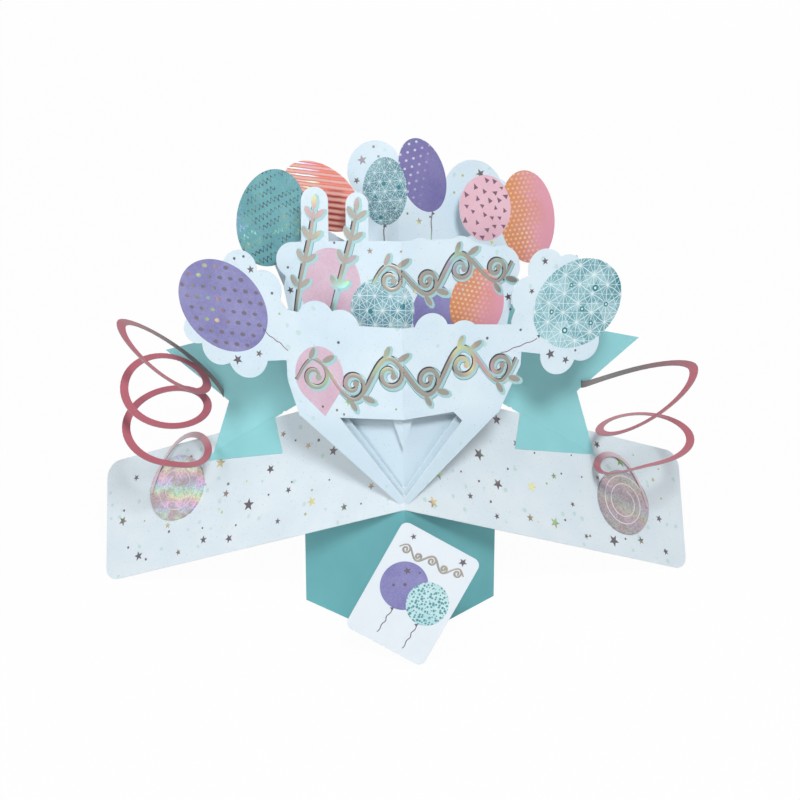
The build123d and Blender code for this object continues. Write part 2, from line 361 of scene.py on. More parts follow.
def make_star_paper(name, sheet, colour, shade, foot=None):
    """Flecked paper; foot is a painted shade: a bluish tint below the middle of the sheet, on its legs, where
    it is glued.
    """
    finish, tree, surface = new_finish(name, 0.5)
    place = laid_out(tree, sheet)
    broad = noise(tree, place["Flat"], 0.04, 3.0)
    body = blend_colour(tree, step_up(tree, broad, 0.35, 0.7), colour, shade)
    # Painted shade: the sheet turns bluer towards its foot, on the legs.
    if foot:
        lower = step_up(tree, split(tree, place["Flat"])[1], 37.0, 25.0)
        body = blend_colour(tree, lower, body, foot)
    ragged = noise(tree, place["Flat"], 0.5, 2.0)
    fleck = put(tree, "TexVoronoi", {"Vector": place["Flat"], "Scale": 0.19})
    inside = minus(tree, 0.36, fleck.outputs["Distance"])
    blotch = calc(tree, "MULTIPLY_ADD", ragged, -0.3, inside)
    chosen = step_up(tree, split(tree, fleck.outputs["Color"])[0], 0.56, 0.6)
    mint = times(tree, step_up(tree, blotch, 0.0, 0.06), chosen)
    body = blend_colour(tree, times(tree, mint, 0.55), body, tone(180, 216, 206))
    crumb = noise(tree, place["Flat"], 1.1, 2.0)
    grey = times(tree, step_up(tree, crumb, 0.66, 0.7), 0.45)
    body = blend_colour(tree, grey, body, tone(170, 186, 190))
    printed = step_up(tree, place["Face"], 0.2, 0.6)
    body = blend_colour(tree, printed, tone(238, 240, 242), body)
    add_tooth(tree, surface, cut_edges(tree, body, place["Face"], tone(246, 248, 250)), 0.08, 0.2)
    return finish


def plain_finish(name, colour, roughness=0.45, depth=0.1, strength=0.15):
    """One even colour on card."""
    finish, tree, surface = new_finish(name, roughness)
    add_tooth(tree, surface, colour, depth, strength)
    return finish


# Inks, laid over a print map that has one unit for each PRINT_UNIT millimetres
PRINT_UNIT = 100.0
INK_ROUGHNESS, FOIL_GLOSS, FOIL_METAL = 0.5, 0.22, 0.75


def print_point(tree):
    """Millimetres on a printed piece from its own centre, and the print map itself."""
    layout = put(tree, "UVMap", uv_map="print").outputs[0]
    return put(tree, "VectorMath", {0: layout, "Scale": PRINT_UNIT}, operation="SCALE").outputs[0], layout


def ink(tree, surface, colour, foil=None, foil_colour=None):
    """Ink on card; foil is a mask of the places stamped with foil."""
    if foil is not None:
        # The foil gets painted rainbow glints.
        shine = use(tree, shimmer, Point=object_point(tree), Silver=foil_colour, Patch=70.0, Rainbow=0.5)
        colour = blend_colour(tree, foil, colour, shine["Colour"])
        gloss = times(tree, foil, FOIL_GLOSS)
        tree.links.new(times(tree, foil, FOIL_METAL), surface.inputs["Metallic"])
        tree.links.new(minus(tree, INK_ROUGHNESS, gloss), surface.inputs["Roughness"])
    add_tooth(tree, surface, colour, 0.08, 0.15)


def make_wash_print(name, light, deep, lean=0.0):
    """The start of every balloon print: a wash that deepens across the balloon by its lean."""
    finish, tree, surface = new_finish(name, INK_ROUGHNESS)
    flat, layout = print_point(tree)
    paint = use(tree, wash, Point=layout, Light=light, Deep=deep, Lean=lean)
    return finish, tree, surface, flat, paint["Colour"]


def plain_wash(name, light, deep):
    finish, tree, surface, _, colour = make_wash_print(name, light, deep)
    ink(tree, surface, colour)
    return finish


def dotted_wash(name, light, deep, pitch, size, foil_colour, lean, share, fade):
    """Rows of foil dots; fade is the (direction, start, end) over which they come in, in millimetres."""
    finish, tree, surface, flat, colour = make_wash_print(name, light, deep, lean)
    dots = use(tree, dot_rows, Point=flat, Pitch=pitch, Size=size)["Mask"]
    direction, start, end = fade
    along = vector_calc(tree, "DOT_PRODUCT", flat, direction)
    dots = times(tree, dots, step_up(tree, along, start, end))
    ink(tree, surface, colour, times(tree, dots, share), foil_colour)
    return finish


def lattice_print(name, light, deep, pitch, line, lean, pale=0.6):
    """A pale lattice over ink that is paler, by up to the share pale, in patches."""
    finish, tree, surface, flat, colour = make_wash_print(name, light, deep, lean)
    net = use(tree, lattice, Point=flat, Pitch=pitch, Line=line)
    tint = blend_colour(tree, times(tree, net["Shade"], pale), colour, tone(196, 227, 232))
    tint = blend_colour(tree, times(tree, net["Lines"], 0.8), tint, tone(236, 246, 248))
    ink(tree, surface, tint)
    return finish


def speckled_wash(name, light, deep, lean, cell, speck_colour):
    """Uneven specks of deeper ink, about one to each cell."""
    finish, tree, surface, flat, colour = make_wash_print(name, light, deep, lean)
    spread = {"Vector": flat, "Scale": 1 / cell, "Randomness": 0.8}
    cells = put(tree, "TexVoronoi", spread, voronoi_dimensions="2D")
    size = calc(tree, "MULTIPLY_ADD", split(tree, cells.outputs["Color"])[0], 0.32, 0.14)
    speck = step_up(tree, minus(tree, size, cells.outputs["Distance"]), -0.05, 0.05)
    ink(tree, surface, blend_colour(tree, times(tree, speck, 0.85), colour, speck_colour))
    return finish


def striped_wash(name, light, deep, pitch, foil_colour):
    """Fine stripes, each with a pale band and a foil line."""
    finish, tree, surface, flat, colour = make_wash_print(name, light, deep)
    wobble = noise(tree, flat, 0.3, 1.0)
    height = calc(tree, "MULTIPLY_ADD", wobble, 0.35, split(tree, flat)[1])
    phase = calc(tree, "FRACT", calc(tree, "DIVIDE", height, pitch))
    pale = step_up(tree, minus(tree, phase, 0.6), -0.05, 0.05)
    colour = blend_colour(tree, times(tree, pale, 0.8), colour, tone(236, 187, 177))
    from_line = calc(tree, "ABSOLUTE", minus(tree, phase, 0.3))
    line = step_up(tree, minus(tree, 0.13, from_line), -0.03, 0.03)
    ink(tree, surface, colour, line, foil_colour)
    return finish


def waved_wash(name, light, deep, pitch, foil_colour):
    """Close rows of waved foil lines that swell, shrink and break off."""
    finish, tree, surface, flat, colour = make_wash_print(name, light, deep)
    turned = put(tree, "Mapping", {"Vector": flat, "Rotation": (0, 0, math.radians(-38))}).outputs[0]
    place = split(tree, turned)
    size = step_up(tree, noise(tree, turned, 0.35, 1.0), 0.3, 0.7)
    wave = calc(tree, "SINE", times(tree, place[0], 3.4))
    height = calc(tree, "MULTIPLY_ADD", wave, calc(tree, "MULTIPLY_ADD", size, 1.0, 0.35), place[1])
    phase = calc(tree, "FRACT", calc(tree, "DIVIDE", height, pitch))
    from_line = calc(tree, "ABSOLUTE", minus(tree, phase, 0.5))
    line = step_up(tree, minus(tree, 0.085, from_line), -0.03, 0.03)
    unbroken = step_up(tree, noise(tree, turned, 0.13, 1.0), 0.36, 0.39)
    line = times(tree, line, unbroken)
    ink(tree, surface, colour, line, foil_colour)
    return finish


def make_foil(name, silver, rainbow, patch=30.0, metal=0.85, cover=0.42, hues=(0.0, 1.0)):
    """Metal foil with painted rainbow glints; cover is the share that glints, hues the first hue of the
    glints and their range.
    """
    finish, tree, surface = new_finish(name, 0.3, metal)
    shine = use(
        tree, shimmer, Point=object_point(tree), Silver=silver, Patch=patch, Rainbow=rainbow, Cover=cover,
        First_hue=hues[0], Hues=hues[1],
    )
    tree.links.new(shine["Colour"], surface.inputs["Base Color"])
    tree.links.new(shine["Roughness"], surface.inputs["Roughness"])
    return finish


def make_glitter(name, silver, rainbow):
    """Glitter card: bright grains, and painted rainbow glints in bands that run across the disc."""
    finish, tree, surface = new_finish(name, 0.32, 0.55)
    flat = print_point(tree)[0]
    grain = put(tree, "TexVoronoi", {"Vector": flat, "Scale": 1.7})
    sparkle = split(tree, grain.outputs["Color"])[0]
    drift = noise(tree, flat, 0.12, 2.0)
    run = vector_calc(tree, "DOT_PRODUCT", flat, (0.02, 0.085, 0.0))
    hue = calc(tree, "FRACT", calc(tree, "MULTIPLY_ADD", drift, 0.9, run))
    band = put(tree, "CombineColor", {0: hue, 1: 0.32, 2: 0.92}, mode="HSV").outputs[0]
    strength = times(tree, step_up(tree, drift, 0.38, 0.55), rainbow)
    colour = blend_colour(tree, strength, silver, band)
    colour = blend_colour(tree, times(tree, sparkle, 0.4), colour, tone(112, 104, 108))
    tree.links.new(colour, surface.inputs["Base Color"])
    tree.links.new(step_up(tree, sparkle, -0.8, 2.0), surface.inputs["Roughness"])
    return finish


def make_ribbon(name):
    """Rose paper strip: it shows its pale edge near the disc and its grey reverse near the backdrop."""
    finish, tree, surface = new_finish(name, 0.6)
    surface.inputs["Specular IOR Level"].default_value = 0.3
    turned = split(tree, put(tree, "UVMap", uv_map="turns").outputs[0])
    colour = blend_colour(tree, step_up(tree, turned[0], 0.3, 0.5), tone(222, 200, 207), tone(190, 106, 119))
    colour = blend_colour(tree, step_up(tree, turned[1], 0.3, 0.52), tone(132, 126, 126), colour)
    add_tooth(tree, surface, colour, 0.1, 0.2)
    return finish


teal_stand = make_plain_card("teal stand card", "stand", tone(114, 186, 191), tone(104, 177, 184))
teal_drop = make_plain_card("teal backdrop card", "backdrop", tone(156, 220, 224), tone(147, 212, 217))
wing_paper = make_star_paper("wing star paper", "wings", tone(231, 240, 246), tone(224, 234, 242))
# Paper tone, its random deeper tone, and a painted shade for the legs.
layer_tones_with_painted_shade = (tone(221, 234, 243), tone(209, 227, 239), tone(205, 223, 235))
layer_papers = {
    layer: make_star_paper(layer + " star paper", layer, *layer_tones_with_painted_shade)
    for layer in ("front", "middle", "balloon", "rear")
}
star_foil = make_foil("dark star foil", tone(112, 106, 113), 0.85, 60.0, 0.8, 0.48, (0.07, 0.24))
stroke_foil = make_foil("silver stroke foil", tone(164, 158, 151), 0.75, 30.0, 0.8, 0.42)
stroke_line = make_foil("dark stroke line", tone(70, 72, 76), 0.2, 40.0, 0.5, 0.3)
# Painted shadow of the foil scrolls, a pale teal.
painted_stroke_shadow = make_foil("painted stroke shadow", tone(166, 206, 210), 0.25, 40.0, 0.15, 0.3)

purple_print = plain_wash("purple balloon ink", tone(154, 152, 197), tone(118, 113, 168))
lattice_teal = lattice_print("lattice balloon ink", tone(138, 190, 201), tone(40, 126, 140), 7.6, 0.14, 1.9)
pink_print = plain_wash("pink balloon ink", tone(222, 198, 213), tone(208, 168, 188))
net_teal = lattice_print("small lattice ink", tone(104, 166, 182), tone(34, 104, 126), 6.4, 0.13, 0.8, 0.5)
fine_net = lattice_print("fine lattice ink", tone(84, 148, 163), tone(26, 94, 112), 4.4, 0.07, 0.8, 0.3)
violet_print = plain_wash("violet balloon ink", tone(147, 143, 190), tone(115, 110, 168))
orange_print = dotted_wash(
    "orange balloon ink", tone(212, 138, 96), tone(222, 154, 172), 2.1, 0.26, tone(236, 196, 146), 7.0, 0.8,
    ((-1.0, 0.0, 0.0), -7.0, 0.0)
)
waved_teal = waved_wash("waved teal ink", tone(120, 178, 185), tone(84, 144, 154), 4.0, tone(52, 62, 68))
striped_coral = striped_wash(
    "coral striped ink", tone(216, 132, 121), tone(203, 109, 100), 2.3, tone(178, 98, 87)
)
rose_print = plain_wash("rose balloon ink", tone(234, 194, 206), tone(224, 176, 192))
purple_dots = dotted_wash(
    "purple dotted ink", tone(134, 127, 178), tone(106, 98, 154), 3.4, 0.17, tone(214, 212, 230), 0.0, 0.9,
    ((-0.8, 0.6, 0.0), -3.0, 6.0)
)

dot_foil = make_foil("fine foil", tone(112, 106, 116), 0.6, 60.0)
purple_foil = make_foil("purple balloon foil", tone(122, 116, 130), 0.6, 60.0)
ring_ink = plain_finish("dark ring ink", tone(44, 122, 130))
pale_ink = plain_finish("pale ring ink", tone(214, 236, 238))
mauve_ink = plain_finish("mauve ink", tone(124, 88, 108))
tag_teal = speckled_wash(
    "tag speckled ink", tone(212, 234, 236), tone(160, 206, 212), 1.0, 1.3, tone(36, 124, 134)
)
ribbon_silver = make_foil("silver ribbon reverse", tone(150, 146, 148), 0.25, 50.0, 0.7)
ribbon_rose = make_ribbon("rose ribbon paper")
disc_rim = plain_finish("pale cut edge", tone(232, 218, 222))
left_glitter = make_glitter("rainbow glitter card", tone(196, 178, 184), 0.85)
right_glitter = make_glitter("silver glitter card", tone(182, 170, 174), 0.22)
tag_paper = plain_finish("tag card", tone(227, 232, 239), 0.5, 0.08, 0.2)


def wear(piece, finish):
    piece.data.materials.clear()
    piece.data.materials.append(finish)


for name, finish in {
    "base_stand": teal_stand,
    "teal_backdrop": teal_drop,
    "starry_wings": wing_paper,
    "front_panel": layer_papers["front"],
    "middle_panel": layer_papers["middle"],
    "balloon_panel": layer_papers["balloon"],
    "rear_panel": layer_papers["rear"],
    "gift_tag": tag_paper,
    "left_streamer": ribbon_rose,
    "right_streamer": ribbon_rose,
}.items():
    wear(nodes[name], finish)


# Modelling helpers
def deselect():
    bpy.ops.object.select_all(action="DESELECT")


def only(piece):
    deselect()
    piece.select_set(True)
    bpy.context.view_layer.objects.active = piece


def settle(piece):
    """Puts the piece's place, turn and size into its mesh."""
    only(piece)
    bpy.ops.object.transform_apply(location=True, rotation=True, scale=True)


def mark_print(piece, x, y, turn=0.0):
    """Lays a print map over a flat piece, from the piece's own centre."""
    layout = piece.data.uv_layers.new(name="print")
    for loop in piece.data.loops:
        spot = piece.data.vertices[loop.vertex_index].co
        along, over = swung(spot.x / MM - x, spot.y / MM - y, -turn)
        layout.data[loop.index].uv = (along / PRINT_UNIT, over / PRINT_UNIT)


def thicken(piece, depth):
    """Gives a flat piece a thin body that rises towards the viewer."""
    only(piece)
    shell = piece.modifiers.new("ink depth", "SOLIDIFY")
    shell.thickness = depth * MM
    shell.offset = 1.0
    bpy.ops.object.modifier_apply(modifier=shell.name)


# Points nearer to the fold than this stay on it, in metres
ON_FOLD = 1e-6


def choose(piece, test):
    """Selects the points that pass a test, in edit mode."""
    bpy.ops.object.mode_set(mode="OBJECT")
    bpy.context.tool_settings.mesh_select_mode = (True, False, False)
    for point in piece.data.vertices:
        point.select = test(point)
    for edge in piece.data.edges:
        edge.select = False
    for face in piece.data.polygons:
        face.select = False
    bpy.ops.object.mode_set(mode="EDIT")


def fold_onto(piece, sheet):
    """Folds a flat piece on the line x = 0 and stands it on its sheet."""
    foot, lean, recede = SHEETS[sheet]
    only(piece)
    low = min(point.co.x for point in piece.data.vertices)
    high = max(point.co.x for point in piece.data.vertices)
    if recede and low < 0 < high:
        bpy.ops.object.mode_set(mode="EDIT")
        bpy.ops.mesh.select_all(action="SELECT")
        bpy.ops.mesh.bisect(plane_co=(0, 0, 0), plane_no=(1, 0, 0))
    for side in (-1, 1):
        if recede and side * (high if side > 0 else low) > 0:
            choose(piece, lambda point: side * point.co.x > ON_FOLD)
            bpy.ops.transform.rotate(
                value=-side * math.radians(recede), orient_axis="Y", orient_type="GLOBAL",
                center_override=(0, 0, 0),
            )
    bpy.ops.object.mode_set(mode="OBJECT")
    piece.rotation_euler = (math.radians(lean), 0, 0)
    piece.location = tuple(value * MM for value in foot)
    settle(piece)


def hand_over(piece, finish):
    """Gives a finished piece its material and puts it on the card."""
    wear(piece, finish)
    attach(piece, "root")


def flat_round(corners):
    """A flat many-sided round, a millimetre across."""
    deselect()
    bpy.ops.mesh.primitive_circle_add(vertices=corners, radius=0.5 * MM, fill_type="NGON")
    return bpy.context.active_object


def flat_oval(name, x, y, across, high, turn, corners=72, lift=0.02):
    piece = flat_round(corners)
    piece.name = name
    piece.scale = (across, high, 1)
    piece.rotation_euler = (0, 0, math.radians(turn))
    piece.location = (x * MM, y * MM, lift * MM)
    settle(piece)
    return piece


def draw_foot(piece, x, y, across, high, turn, reach):
    """Draws the lower end of an oval out to a point, reach millimetres from its centre."""
    half = high / 2
    touch = half * half / reach
    broad = across / 2 * math.sqrt(1 - (touch / half) ** 2)
    for point in piece.data.vertices:
        along, over = swung(point.co.x / MM - x, point.co.y / MM - y, -turn)
        if over < -touch:
            over = -touch + (over + touch) * (reach - touch) / (half - touch)
            along = math.copysign(broad * (over + reach) / (reach - touch), along)
        right, up = swung(along, over, turn)
        point.co.x, point.co.y = (x + right) * MM, (y + up) * MM


def balloon(name, sheet, finish, x, y, across, high, turn=0.0, depth=0.05, print_turn=None, foot=None):
    """A printed balloon, just proud of its sheet."""
    piece = flat_oval(name, x, y, across, high, turn)
    if foot:
        draw_foot(piece, x, y, across, high, turn, foot)
    mark_print(piece, x, y, turn if print_turn is None else print_turn)
    thicken(piece, depth)
    fold_onto(piece, sheet)
    hand_over(piece, finish)


PURPLE_MIDDLE, PURPLE_TURN = (-76.5, 74), -38
ROSE_MIDDLE = (38, 108.5)
balloon("front_purple_balloon", "front", purple_print, *PURPLE_MIDDLE, 42, 33, PURPLE_TURN)
balloon("front_lattice_balloon", "front", lattice_teal, 78, 72.5, 42, 34, 25)
balloon("front_pink_balloon", "front", pink_print, -35.3, 48.5, 20.5, 23, 8, 0.04, foot=16.5)
balloon("middle_pink_balloon", "middle", pink_print, -30, 81, 26, 30, 0, 0.02)
balloon("middle_lattice_balloon", "middle", net_teal, -8, 72, 27, 26, 0, 0.04)
balloon("middle_purple_balloon", "middle", violet_print, 14, 70, 19, 24, 0, 0.03)
balloon("middle_orange_balloon", "middle", orange_print, 33, 73, 24, 28, -12)
balloon("teal_waved_balloon", "balloon", waved_teal, -55, 106, 30, 39, -14)
balloon("coral_striped_balloon", "balloon", striped_coral, -33, 114, 37, 23, -35, 0.04, -8)
balloon("orange_dotted_balloon", "balloon", orange_print, 57, 105, 25, 37, 6)
balloon("rose_triangle_balloon", "balloon", rose_print, *ROSE_MIDDLE, 23, 26, 0, 0.08)
balloon("rear_lattice_balloon", "rear", fine_net, -5.5, 113, 19, 27)
balloon("rear_purple_balloon", "rear", purple_dots, 11, 119.5, 20, 30, 18, 0.04)


# Stars, dots and other small foil shapes
STAR_POINTS, STAR_WAIST = 5, 0.42


def cut_star():
    """One flat star, a millimetre across, its alternate corners drawn in."""
    piece = flat_round(2 * STAR_POINTS)
    choose(piece, lambda point: point.index % 2 == 1)
    bpy.ops.transform.resize(value=(STAR_WAIST, STAR_WAIST, 1), center_override=(0, 0, 0))
    bpy.ops.object.mode_set(mode="OBJECT")
    return piece


def cut_shape(corners, flatten=1.0):
    """One flat shape, a millimetre high, such as a dot, a leaf or a triangle."""
    piece = flat_round(corners)
    piece.scale = (flatten, 1, 1)
    settle(piece)
    return piece


def strew(name, sheet, finish, shape, spots, lift=0.02, depth=0.05):
    """Copies a shape to its spots, each (x, y, size, turn), and joins them into one piece on a sheet."""
    copies = []
    for x, y, size, turn in spots:
        copy = bpy.data.objects.new(name + "_copy", shape.data.copy())
        bpy.context.scene.collection.objects.link(copy)
        copy.location = (x * MM, y * MM, lift * MM)
        copy.rotation_euler = (0, 0, math.radians(turn))
        copy.scale = (size, size, 1)
        copies.append(copy)
    bpy.data.objects.remove(shape)
    deselect()
    for copy in copies:
        copy.select_set(True)
    bpy.context.view_layer.objects.active = copies[0]
    bpy.ops.object.transform_apply(location=True, rotation=True, scale=True)
    bpy.ops.object.join()
    piece = bpy.context.active_object
    piece.name = name
    thicken(piece, depth)
    fold_onto(piece, sheet)
    hand_over(piece, finish)


MOST_TRIES = 6000


def scattered(seed, count, wide, tall, apart, sizes, allowed):
    """Seeded spots where allowed, no nearer than apart, with a size and a turn each."""
    draw = random.Random(seed)
    spots = []
    for _ in range(MOST_TRIES):
        x, y = draw.uniform(*wide), draw.uniform(*tall)
        size, turn = draw.choice(sizes) * draw.uniform(0.85, 1.15), draw.uniform(0, 72)
        clear = all(math.hypot(x - spot[0], y - spot[1]) > apart for spot in spots)
        if clear and allowed(x, y):
            spots.append((x, y, size, turn))
        if len(spots) == count:
            break
    return spots


def in_oval(x, y, centre_x, centre_y, across, high, turn=0.0):
    along, over = swung(x - centre_x, y - centre_y, -turn)
    return (2 * along / across) ** 2 + (2 * over / high) ** 2 < 1


BARE_STRIP = 14


def on_wing(x, y):
    """Whether a spot is clear of the bare strip beside the spine."""
    return abs(x) > BARE_STRIP


STAR_SIZES = (2.8, 3.3, 4.0, 5.0)
DOT_SIZES = (0.9, 1.2)
wing_stars = scattered(11, 64, (-145, 145), (5, 48), 13.0, STAR_SIZES, on_wing)
strew("wing_stars", "wings", star_foil, cut_star(), wing_stars)
wing_dots = scattered(23, 56, (-146, 146), (4, 49), 9.0, DOT_SIZES, on_wing)
strew("wing_dots", "wings", star_foil, cut_shape(8), wing_dots)

layer_stars = {
    "front": [
        (-64, 89, 3.4, 10), (-70.5, 52.5, 4.4, 30), (-61, 55.5, 3.2, 50), (-23, 38.5, 3.4, 20),
        (65.5, 53, 4.4, 15), (72.5, 50, 3.4, 40), (63, 90.5, 3.2, 5), (57, 79, 2.6, 33),
    ],
    "middle": [
        (47, 75, 3.4, 12), (6, 79.5, 3.0, 40), (-47, 79, 3.2, 25), (-13, 95, 2.6, 5), (40, 97, 2.4, 8),
    ],
    "rear": [
        (-15, 126, 4.2, 12), (-17.5, 118, 3.0, 40), (37, 121, 4.4, 25), (9, 101, 3.0, 5), (28, 108, 2.8, 30),
    ],
}
layer_dots = {
    "front": [
        (-71, 93, 1.2), (-67, 94, 1.1), (-55, 80, 1.2), (-52, 72, 1.0), (-27, 62, 1.2), (-28, 35, 1.1),
        (-25, 33.5, 1.0), (-34, 36, 1.0), (80, 56, 1.2), (77, 53.5, 1.0), (52, 64, 1.1), (37, 62, 1.2),
        (31, 60, 1.0), (46, 44, 1.0), (-3, 37, 0.9),
    ],
    "middle": [
        (45, 82, 1.1), (48, 70, 1.0), (-48, 88, 1.1), (0, 95, 1.0), (-28, 98, 1.0), (7.5, 84, 0.9),
    ],
    "rear": [
        (-10, 131, 1.2), (-8, 127, 1.1), (29, 120, 1.2), (32, 116, 1.0), (25, 113, 1.1), (44, 114, 1.0),
        (4, 104, 1.0), (14, 103, 1.0), (-20, 112, 1.0),
    ],
}


def unturned(spots, grow=1.0):
    return [(x, y, size * grow, 0) for x, y, size in spots]


for layer, stars in layer_stars.items():
    strew(layer + "_stars", layer, star_foil, cut_star(), stars)
    strew(layer + "_dots", layer, star_foil, cut_shape(8), unturned(layer_dots[layer]))


def in_purple(x, y):
    return in_oval(x, y, *PURPLE_MIDDLE, 39, 30, PURPLE_TURN)


FIRST_DOT, DOT_STEP, DOT_ROW_STEP = (-101, 56), 4.6, 4.3
ROW_DRIFT, STEP_FALL = 0.4, 0.25
purple_spots = []
for row in range(9):
    for place in range(12):
        x = FIRST_DOT[0] + DOT_STEP * place + DOT_STEP / 2 * (row % 2) + ROW_DRIFT * row
        y = FIRST_DOT[1] + DOT_ROW_STEP * row - STEP_FALL * place
        if in_purple(x, y):
            purple_spots.append((x, y, 2.0 + 0.25 * ((row + place) % 2), 78))
strew("purple_balloon_dots", "front", purple_foil, cut_shape(10, 0.72), purple_spots, 0.06)
front_rings = [
    (66, 70, 2.0), (72, 62, 2.6), (86, 78, 2.6), (80, 70, 2.2), (91, 71, 2.0), (75, 80, 1.8), (84, 64, 2.0),
]
middle_rings = [(-13.1, 71.5, 2.0), (0.4, 73.7, 2.2)]
rear_rings = [(-5.9, 116, 1.8), (0.4, 114.3, 1.7), (-7.4, 102.7, 1.7), (-9.5, 111, 1.1), (-1.5, 106, 1.1)]
strew("lattice_balloon_rings", "front", ring_ink, cut_shape(16), unturned(front_rings), 0.06)
strew("lattice_balloon_ring_centres", "front", pale_ink, cut_shape(12), unturned(front_rings, 0.45), 0.1)
strew("middle_lattice_rings", "middle", ring_ink, cut_shape(14), unturned(middle_rings), 0.05)
strew("rear_lattice_rings", "rear", ring_ink, cut_shape(14), unturned(rear_rings), 0.06)


def in_rose(x, y):
    return in_oval(x, y, *ROSE_MIDDLE, 20.5, 23.5)


triangle_spots = scattered(8, 38, (26, 50), (96, 121), 3.4, (2.4, 2.8), in_rose)
strew("rose_balloon_triangles", "balloon", mauve_ink, cut_shape(3, 0.75), triangle_spots, 0.09)


# Foil scrolls, balloon strings and knots
def spiral(x, y, radius, start, turns, inner):
    """Points of a spiral from its outer end inwards, to the share inner of its radius."""
    steps = max(5, round(abs(turns) * 11))
    points = []
    for step in range(steps + 1):
        share = step / steps
        angle = math.radians(start + 360 * turns * share)
        reach = radius * (1 - (1 - inner) * share**0.85)
        points.append((x + reach * math.cos(angle), y + reach * math.sin(angle)))
    return points


# Leaves of each wave: place past the crest, tilt and size
WAVE_LEAVES = ((-0.12, 62, 5.2), (0.2, 24, 5.8))
LEAF_STALK, BUD_SIZE = 0.6, 2.1
SPRIG_STALK, SPRIG_SPREAD = 0.5, 0.75


def vine(start, end, waves, swing, curl_size):
    """A running scroll: its waved stem with a curl in the hollow of each wave, its buds and its leaves."""
    length = math.dist(start, end)
    lead = math.degrees(math.atan2(end[1] - start[1], end[0] - start[0]))

    def place(along, over):
        right, up = swung(along, over, lead)
        return start[0] + right, start[1] + up

    def on_stem(share):
        return length * share, swing * math.sin(math.pi * waves * share)

    steps = waves * 8
    runs = [[place(*on_stem(step / steps)) for step in range(steps + 1)]]
    buds, leaves = [], []
    for wave in range(waves):
        side = 1 if wave % 2 == 0 else -1
        crest = length * (wave + 0.5) / waves
        radius = curl_size * (1.0 if wave % 2 == 0 else 0.88)
        curl = spiral(crest, side * (swing - radius), radius, 90 * side, -1.3 * side, 0.24)
        runs.append([place(*spot) for spot in curl])
        buds.append((*place(*curl[-1]), BUD_SIZE, 0))
        for offset, tilt, size in WAVE_LEAVES:
            along, over = on_stem((wave + 0.5 + offset) / waves)
            right, up = swung(0.5 * size + LEAF_STALK, 0.0, side * tilt)
            leaves.append((*place(along + right, over + up), size, side * tilt + lead - 90))
    return runs, buds, leaves


def sprig(points, leaf_size):
    """Leaves for a stem by its points: a pair at each point between its ends, and one at the tip."""
    leaves = []
    reach = 0.5 * leaf_size + SPRIG_STALK
    for before, here, after in zip(points, points[1:], points[2:]):
        lead = math.atan2(after[1] - before[1], after[0] - before[0])
        for angle in (lead + SPRIG_SPREAD, lead - SPRIG_SPREAD):
            spot = (here[0] + reach * math.cos(angle), here[1] + reach * math.sin(angle))
            leaves.append((*spot, leaf_size, math.degrees(angle) - 90))
    tip = math.atan2(points[-1][1] - points[-2][1], points[-1][0] - points[-2][0])
    leaves.append((*points[-1], leaf_size, math.degrees(tip) - 90))
    return leaves


def foil_lines(name, sheet, finish, runs, width, rise, slip=(0.0, 0.0), thin=0.6, lift=0.0):
    """Low, rounded foil lines along the runs, thinner towards their ends."""
    line = bpy.data.curves.new(name, "CURVE")
    line.dimensions = "3D"
    line.bevel_depth = 0.5 * width * MM
    line.bevel_resolution = 2
    line.resolution_u = 5
    line.use_fill_caps = True
    for run in runs:
        path = line.splines.new("NURBS")
        path.points.add(len(run) - 1)
        for number, (x, y) in enumerate(run):
            share = number / (len(run) - 1)
            path.points[number].co = ((x + slip[0]) * MM, (y + slip[1]) * MM, 0, 1)
            path.points[number].radius = thin + (1 - thin) * math.sin(math.pi * share)
        path.order_u = 4
        path.use_endpoint_u = True
    piece = bpy.data.objects.new(name, line)
    bpy.context.scene.collection.objects.link(piece)
    only(piece)
    bpy.ops.object.convert(target="MESH")
    piece = bpy.context.active_object
    piece.scale = (1, 1, 2 * rise / width)
    piece.location = (0, 0, lift * MM)
    settle(piece)
    bpy.ops.object.shade_smooth()
    fold_onto(piece, sheet)
    hand_over(piece, finish)


def stamp_scrolls(name, sheet, runs, buds, leaves, width):
    """Scrolls stamped in foil, with a painted shadow as a pale teal border to the lower right, and a dark
    line to the upper left.
    """
    def moved(spots, right, up, grow):
        return [(x + right, y + up, size * grow, turn) for x, y, size, turn in spots]

    # Painted shadow: a wider pale teal copy of the scrolls and leaves, moved to the lower right.
    foil_lines(name + "_border", sheet, painted_stroke_shadow, runs, width + 1.3, 0.1, (0.5, -0.5))
    leaf_shadow_spots = moved(leaves, 0.5, -0.5, 1.3)
    strew(name + "_leaf_border", sheet, painted_stroke_shadow, cut_shape(8, 0.5), leaf_shadow_spots, 0.06, 0.04)
    foil_lines(name + "_dark_line", sheet, stroke_line, runs, width + 0.25, 0.13, (-0.2, 0.2))
    foil_lines(name, sheet, stroke_foil, runs, width, 0.17)
    strew(name + "_leaves", sheet, stroke_foil, cut_shape(8, 0.42), leaves, 0.1, 0.06)
    strew(name + "_buds", sheet, stroke_foil, cut_shape(14), moved(buds, 0, 0, width / 1.9), 0.1, 0.08)


stamp_scrolls("front_scrolls", "front", *vine((-45, 46), (50, 53), 6, 8.3, 6.9), 2.3)
middle_runs, middle_buds, middle_leaves = vine((-12, 82), (49, 89), 4, 6.8, 5.9)
for points in (
    ((-45, 70), (-43.5, 80), (-41, 90), (-38.5, 99), (-36.8, 107), (-36.2, 114)),
    ((-30, 70), (-27, 80), (-24, 90), (-21, 99), (-19, 107), (-18.3, 113)),
):
    middle_runs.append(points)
    middle_leaves.extend(sprig(points, 5.6))
stamp_scrolls("middle_scrolls", "middle", middle_runs, middle_buds, middle_leaves, 2.2)

